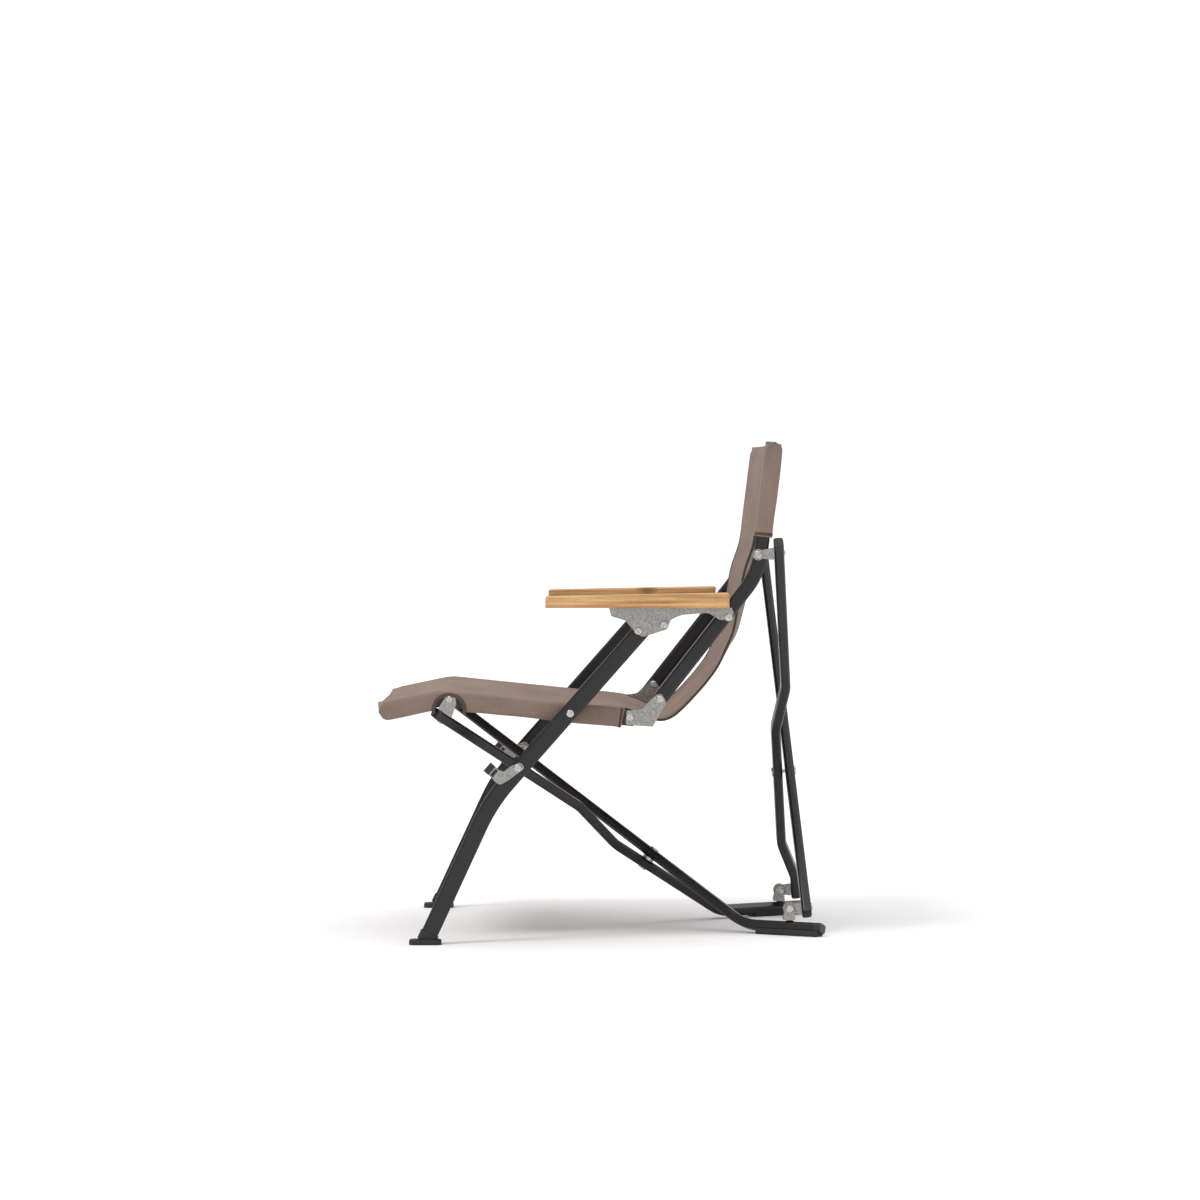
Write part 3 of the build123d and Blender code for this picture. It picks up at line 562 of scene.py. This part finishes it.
def stitch_row(bm, uv, points, outward):
    """Short raised threads along a line of points, each with the way out of the cloth."""
    points = [Vector(p) for p in points]
    outward = [Vector(n).normalized() for n in outward]
    far = [0.0]
    for a, b in zip(points[:-1], points[1:]):
        far.append(far[-1] + (b - a).length)
    count = int(far[-1] / STITCH_PITCH)
    for k in range(count):
        where = (k + 0.5) * STITCH_PITCH
        i = max(j for j in range(len(far)) if far[j] <= where)
        i = min(i, len(points) - 2)
        along = (points[i + 1] - points[i]).normalized()
        centre = points[i] + along * (where - far[i])
        out = outward[i]
        across = along.cross(out).normalized()
        rings = []
        for t, scale, lift in STITCH_RINGS:
            ring = []
            for q in range(6):
                angle = math.tau * q / 6
                push = across * math.cos(angle) + out * math.sin(angle) * 0.8
                at = centre + along * (t * STITCH_LENGTH) + push * (STITCH_RADIUS * scale)
                ring.append(bm.verts.new(at + out * (lift * STITCH_RADIUS)))
            rings.append(ring)
        for a, b in zip(rings[:-1], rings[1:]):
            for q in range(6):
                face = bm.faces.new((a[q], a[(q + 1) % 6], b[(q + 1) % 6], b[q]))
                for loop in face.loops:
                    loop[uv].uv = (loop.vert.co.x, loop.vert.co.y + loop.vert.co.z)
        bm.faces.new(rings[0][::-1])
        bm.faces.new(rings[-1])


def sewing(name, rows):
    """All the stitches of one quarter."""
    bm = bmesh.new()
    uv = bm.loops.layers.uv.new("cloth")
    for points, outward in rows:
        stitch_row(bm, uv, points, outward)
    bmesh.ops.recalc_face_normals(bm, faces=bm.faces)
    return new_object(name, bm, THREAD)


def deck_row(side, first, last, x):
    """A line along the sling at x on the sitter's side, with its ways out of the cloth."""
    rows = [i for i in range(first, last + 1)
            if closed_end(S[i], S[0], x) + closed_end(S[i], S[-1], x) <= 0.3]
    return [deck_point(side, i, x, CLOTH / 2) for i in rows], [(0, *NORMAL[i]) for i in rows]


def cross_row(side, i):
    """A line across the sling at row i on the sitter's side, with its ways out of the cloth."""
    points = [deck_point(side, i, x, CLOTH / 2) for x in np.linspace(0.001, 0.224, 50)]
    return points, [(0, *NORMAL[i])] * len(points)


def ribbon(name, points, across, outward, wide, thick, closed=False):
    """A folded tape with rounded edges that follows points."""
    points = [Vector(p) for p in points]
    bm = bmesh.new()
    uv = bm.loops.layers.uv.new("cloth")
    rings, far = [], 0.0
    outline = [(math.copysign(abs(math.cos(a)) ** 0.5, math.cos(a)) * wide / 2,
                math.copysign(abs(math.sin(a)) ** 0.7, math.sin(a)) * thick / 2)
               for a in np.linspace(0, math.tau, 14, endpoint=False)]
    lengths = []
    for i, p in enumerate(points):
        if i:
            far += (p - points[i - 1]).length
        lengths.append(far)
        u, v = Vector(across[i]).normalized(), Vector(outward[i]).normalized()
        rings.append([bm.verts.new(p + u * a + v * b) for a, b in outline])
    count = len(outline)
    for i in range(len(rings) - 1):
        for q in range(count):
            r = (q + 1) % count
            face = bm.faces.new((rings[i][q], rings[i][r], rings[i + 1][r], rings[i + 1][q]))
            for loop, (a, b) in zip(face.loops, ((i, q), (i, q + 1), (i + 1, q + 1), (i + 1, q))):
                loop[uv].uv = (b * 0.0016, lengths[a])
    if not closed:
        bm.faces.new(rings[0][::-1])
        bm.faces.new(rings[-1])
    bmesh.ops.recalc_face_normals(bm, faces=bm.faces)
    return new_object(name, bm, BINDING)


# ---- the sling -------------------------------------------------------------------------------
CUT_CENTRE = (-0.2185, 0.3325)   # the opening in the seat sleeve for the front swivel bracket
CUT_RADIUS = 0.0228
RIVET_HOLE = (-0.0458, 0.3289)   # the opening for the leg's rivet
RIVET_RADIUS = 0.0088
OPENINGS = ((CUT_CENTRE, CUT_RADIUS, RAIL_X - 0.0125, RAIL_X + 0.02),
            (RIVET_HOLE, RIVET_RADIUS, RAIL_X + 0.002, RAIL_X + 0.02))


def sleeve_hem(side, i, quarter):
    """The bound end of a sleeve: points round it, the way along it, and the way out."""
    tangent = Vector((0, NORMAL[i][1], -NORMAL[i][0]))
    points, across, outward = [], [], []
    for x, n in wrap_section(quarter):
        points.append((side * x, *(PROFILE[i] + NORMAL[i] * n)))
        across.append(tangent)
        outward.append((side * (x - RAIL_X), *(NORMAL[i] * (n + quarter.depth / 2))))
    return points, across, outward


def edge_line(side, first, last):
    """The loop's free edge between two rows: points, the way across the tape, and the way out."""
    points, across, outward = [], [], []
    for i in range(first, last + 1):
        y, z = PROFILE[i] + NORMAL[i] * deck_shape(EDGE_X, S[i])
        points.append((side * (EDGE_X - 0.0022), y, z))
        across.append((side, 0, 0))
        outward.append((0, *NORMAL[i]))
    return points, across, outward


def ring_line(side, centre, radius, start, end, lift, count):
    """An arc on a sleeve's outer wall: points, the radial ways, and the way out."""
    x = RAIL_X + SIDE_HALF + CLOTH / 2 + lift
    points, across, outward = [], [], []
    for a in np.linspace(math.radians(start), math.radians(end), count):
        points.append((side * x, centre[0] + radius * math.cos(a), centre[1] + radius * math.sin(a)))
        across.append((0, math.cos(a), math.sin(a)))
        outward.append((side, 0, 0))
    return points, across, outward


def hold(obj, body, loose):
    """The piece moves with its side frame, and if loose gets a mesh of its own."""
    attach(obj, body)
    if loose:
        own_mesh(obj)


HEM_ROWS = int(0.018 / STEP)     # the hems at the sling's two ends, in rows
DOUBLE_SEAM = SEAM_X - 0.0055
EDGE_SEAM = EDGE_X - 0.0085
LAST = len(S) - 1

for side, word in ((1, "left"), (-1, "right")):
    rail, post = word + "_rail", word + "_post"
    seat = canvas_piece(word + "_seat_canvas", side, SEAT, False)
    seat_sleeve = canvas_piece(word + "_seat_sleeve", side, SEAT, True, OPENINGS)
    back = canvas_piece(word + "_back_canvas", side, BACK, False)
    back_sleeve = canvas_piece(word + "_back_sleeve", side, BACK, True)

    opening = ring_line(side, CUT_CENTRE, CUT_RADIUS - 0.0006, -14, 194, 0.0006, 60)
    rivet_hole = ring_line(side, RIVET_HOLE, 0.0094, 0, 360, 0.0004, 40)
    seat_trims = [
        ribbon(word + "_opening_binding", *opening, 0.0052, 0.0020),
        ribbon(word + "_rivet_hole_binding", *rivet_hole, 0.0028, 0.0014, closed=True),
        ribbon(word + "_seat_sleeve_hem", *sleeve_hem(side, DECK_END - 1, SEAT), 0.0036, 0.0022),
        ribbon(word + "_seat_edge_tape", *edge_line(side, DECK_END, JOIN), 0.0075, 0.0034),
        sewing(word + "_seat_stitches", [deck_row(side, 1, DECK_END - 1, SEAM_X),
                                         deck_row(side, 1, DECK_END - 1, DOUBLE_SEAM),
                                         deck_row(side, DECK_END, JOIN, EDGE_SEAM),
                                         cross_row(side, HEM_ROWS)]),
        seat_sleeve,
    ]
    back_trims = [
        ribbon(word + "_back_sleeve_hem", *sleeve_hem(side, BACK_START + 1, BACK), 0.0046, 0.0022),
        ribbon(word + "_back_edge_tape", *edge_line(side, JOIN, BACK_START), 0.0075, 0.0034),
        sewing(word + "_back_stitches", [deck_row(side, BACK_START + 1, LAST - 2, SEAM_X),
                                         deck_row(side, BACK_START + 1, LAST - 2, DOUBLE_SEAM),
                                         deck_row(side, JOIN, BACK_START, EDGE_SEAM),
                                         cross_row(side, LAST - HEM_ROWS)]),
        back_sleeve,
    ]

    for canvas, trims, body in ((seat, seat_trims, rail), (back, back_trims, post)):
        hold(canvas, body, True)
        for obj in trims:
            hold(obj, body, "stitches" in obj.name or "tape" in obj.name)
    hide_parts(word + "_seat_sling")
    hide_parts(word + "_back_sling")
    flat, area = flat_size(SEAT)
    flat, area = flat_size(BACK)


# ---- studio -----------------------------------------------------------------------------------
def floor(half=30.0):
    """A white floor, which isn't part of the chair."""
    mesh = bpy.data.meshes.new("floor")
    corners = [(-half, -half, 0), (half, -half, 0), (half, half, 0), (-half, half, 0)]
    mesh.from_pydata(corners, [], [(0, 1, 2, 3)])
    obj = bpy.data.objects.new("floor", mesh)
    bpy.context.scene.collection.objects.link(obj)
    mat, tree, shader = material("floor_paper")
    place = node(tree, "ShaderNodeTexCoord").outputs["Object"]
    tone = ramp(tree, noise(tree, place, 2.0), ((0.3, (0.91, 0.91, 0.91)), (0.7, (0.93, 0.93, 0.93))))
    tree.links.new(tone, shader.inputs["Base Color"])
    shader.inputs["Roughness"].default_value = 1.0
    shader.inputs["Specular IOR Level"].default_value = 0.0
    mesh.materials.append(mat)


def soft_sun(name, source, spread, power):
    """An even light that comes from the direction of source."""
    data = bpy.data.lights.new(name, "SUN")
    data.angle = math.radians(spread)
    data.energy = power
    obj = bpy.data.objects.new(name, data)
    bpy.context.scene.collection.objects.link(obj)
    obj.rotation_euler = Vector(source).to_track_quat("Z", "Y").to_euler()


def white_room(seen, lit):
    """A white backdrop that lights the chair more softly than it looks."""
    world = bpy.data.worlds.new("studio")
    bpy.context.scene.world = world
    world.use_nodes = True
    tree = world.node_tree
    background = tree.nodes["Background"]
    background.inputs["Color"].default_value = (1, 1, 1, 1)
    path = node(tree, "ShaderNodeLightPath").outputs["Is Camera Ray"]
    level = node(tree, "ShaderNodeMapRange", {"Value": path, "To Min": lit, "To Max": seen})
    tree.links.new(level.outputs["Result"], background.inputs["Strength"])


floor()
soft_sun("key", (0.45, -0.5, 1.0), 16.0, 1.0)
soft_sun("top", (-0.1, 0.1, 1.0), 80.0, 1.25)
white_room(1.1, 0.66)
bpy.context.scene.view_settings.view_transform = "Standard"

camera = bpy.data.cameras.new("camera")
camera.sensor_width = 36.0
camera.lens = 119.0
camera.clip_end = 100.0
eye = bpy.data.objects.new("camera", camera)
bpy.context.scene.collection.objects.link(eye)
eye.location = (5.906, -0.032, 0.602)
pitch, yaw = math.radians(1.14), math.radians(0.29)
aim = Vector((-math.cos(pitch) * math.cos(yaw), math.sin(yaw), -math.sin(pitch)))
eye.rotation_euler = aim.to_track_quat("-Z", "Y").to_euler()
bpy.context.scene.camera = eye
